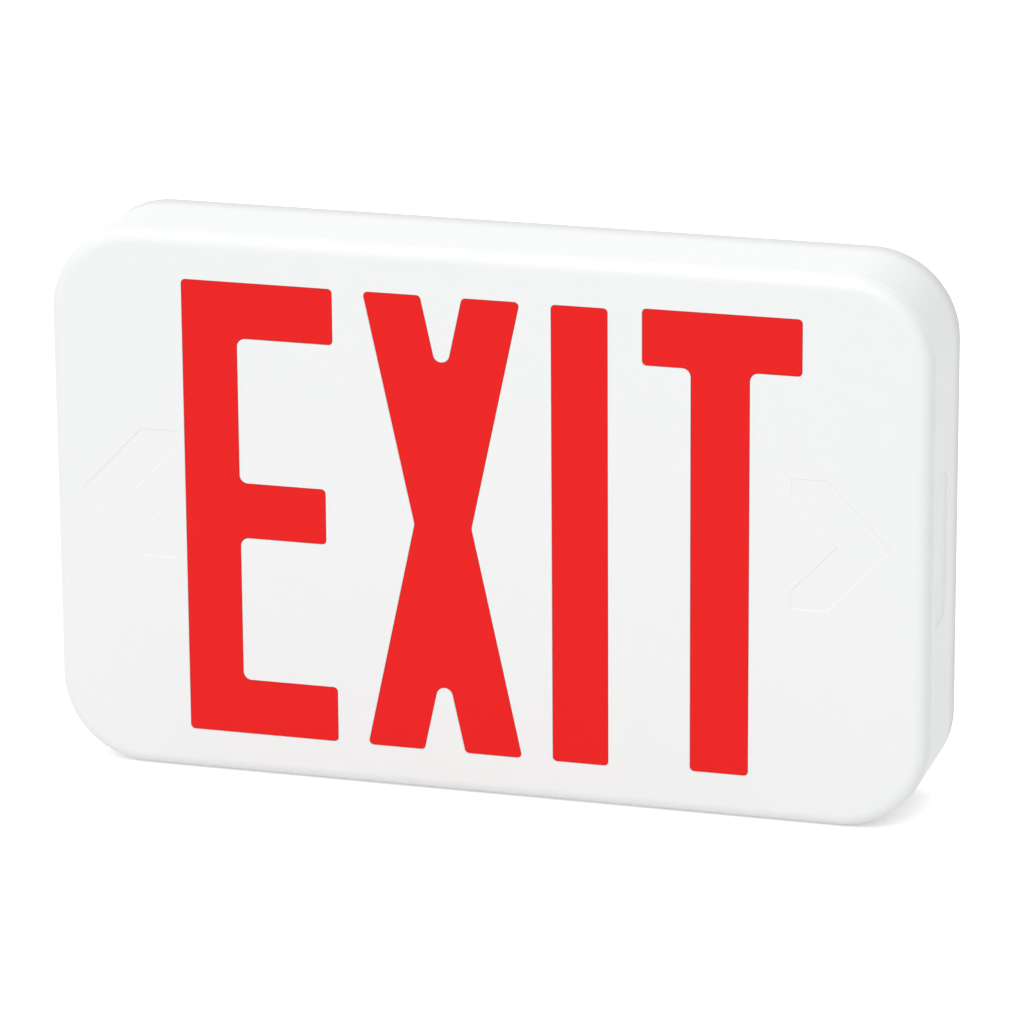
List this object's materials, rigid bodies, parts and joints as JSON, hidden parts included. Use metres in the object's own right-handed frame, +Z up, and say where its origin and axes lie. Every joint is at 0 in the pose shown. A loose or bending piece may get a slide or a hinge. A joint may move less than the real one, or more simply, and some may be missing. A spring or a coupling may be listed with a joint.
{
  "type": "emergency exit light",
  "caption": "Wall-mounted emergency exit light: white rounded case, red legend filling its openings, break-out chevrons, battery backup and push-to-test button.",
  "frame": {"origin": "centre of the wire entry, on the face that lies against the wall", "axes": "+Z up the wall, +Y out of the back into the wall, so the legend faces -Y and reads towards +X"},
  "size_m": [0.2904, 0.043, 0.181],
  "materials": {
    "cover_white": "smooth moulded ABS with a soft sheen",
    "housing_white": "smooth moulded ABS with a soft sheen",
    "plate_white": "fine spark texture",
    "lens_red": "translucent red acrylic, evenly lit",
    "reflector_white": "high-reflectance white",
    "lamp_board_white": "white solder mask",
    "lamp_resin": "yellow phosphor resin",
    "board_green": "green solder mask",
    "screw_steel": "zinc plated",
    "capacitor_yellow": "boxed film capacitor",
    "capacitor_sleeve": "dark sleeve",
    "fuse_brown": "moulded cap",
    "varistor_blue": "dipped epoxy",
    "epoxy_black": "moulded epoxy",
    "ferrite_grey": "sintered ferrite",
    "tape_yellow": "polyester tape over the winding",
    "terminal_green": "moulded nylon",
    "connector_cream": "moulded nylon",
    "battery_sleeve": "heat-shrunk sleeve",
    "bracket_black": "moulded nylon",
    "lead_red": "PVC insulation",
    "lead_black": "PVC insulation",
    "lead_white": "PVC jacket",
    "button_red": "smooth moulded cap",
    "plunger_white": "moulded acetal",
    "light_green": "tinted epoxy"
  },
  "bodies": {
    "sign": {"face_cover": "cover_white", "housing": "housing_white", "back_plate": "plate_white", "red_lens": "lens_red", "reflector_tray": "reflector_white", "tray_screws": "screw_steel", "led_board_top": "lamp_board_white", "led_board_bottom": "lamp_board_white", "leds_top": "lamp_resin", "leds_bottom": "lamp_resin", "driver_board": "board_green", "board_screws": "screw_steel", "film_capacitor": "capacitor_yellow", "bridge_rectifier": "epoxy_black", "control_chip": "epoxy_black", "charge_transistor": "epoxy_black", "electrolytic_capacitors": "capacitor_sleeve", "fuse": "fuse_brown", "surge_varistor": "varistor_blue", "transformer_core": "ferrite_grey", "transformer_winding": "tape_yellow", "supply_terminals": "terminal_green", "terminal_screws": "screw_steel", "battery_connector": "connector_cream", "led_connectors": "connector_cream", "battery_pack": "battery_sleeve", "battery_bracket": "bracket_black", "bracket_screws": "screw_steel", "battery_lead_red": "lead_red", "battery_lead_black": "lead_black", "led_lead_top": "lead_white", "led_lead_bottom": "lead_white", "switch_case": "epoxy_black", "status_light": "light_green"},
    "button": {"test_button": "button_red", "switch_plunger": "plunger_white"}
  },
  "joints": [
    {"name": "test_press", "type": "slide", "parent": "sign", "child": "button", "axis": [0, 0, 1], "range_m": [0, 0.0015], "stiffness_N_per_m": 1000}
  ]
}
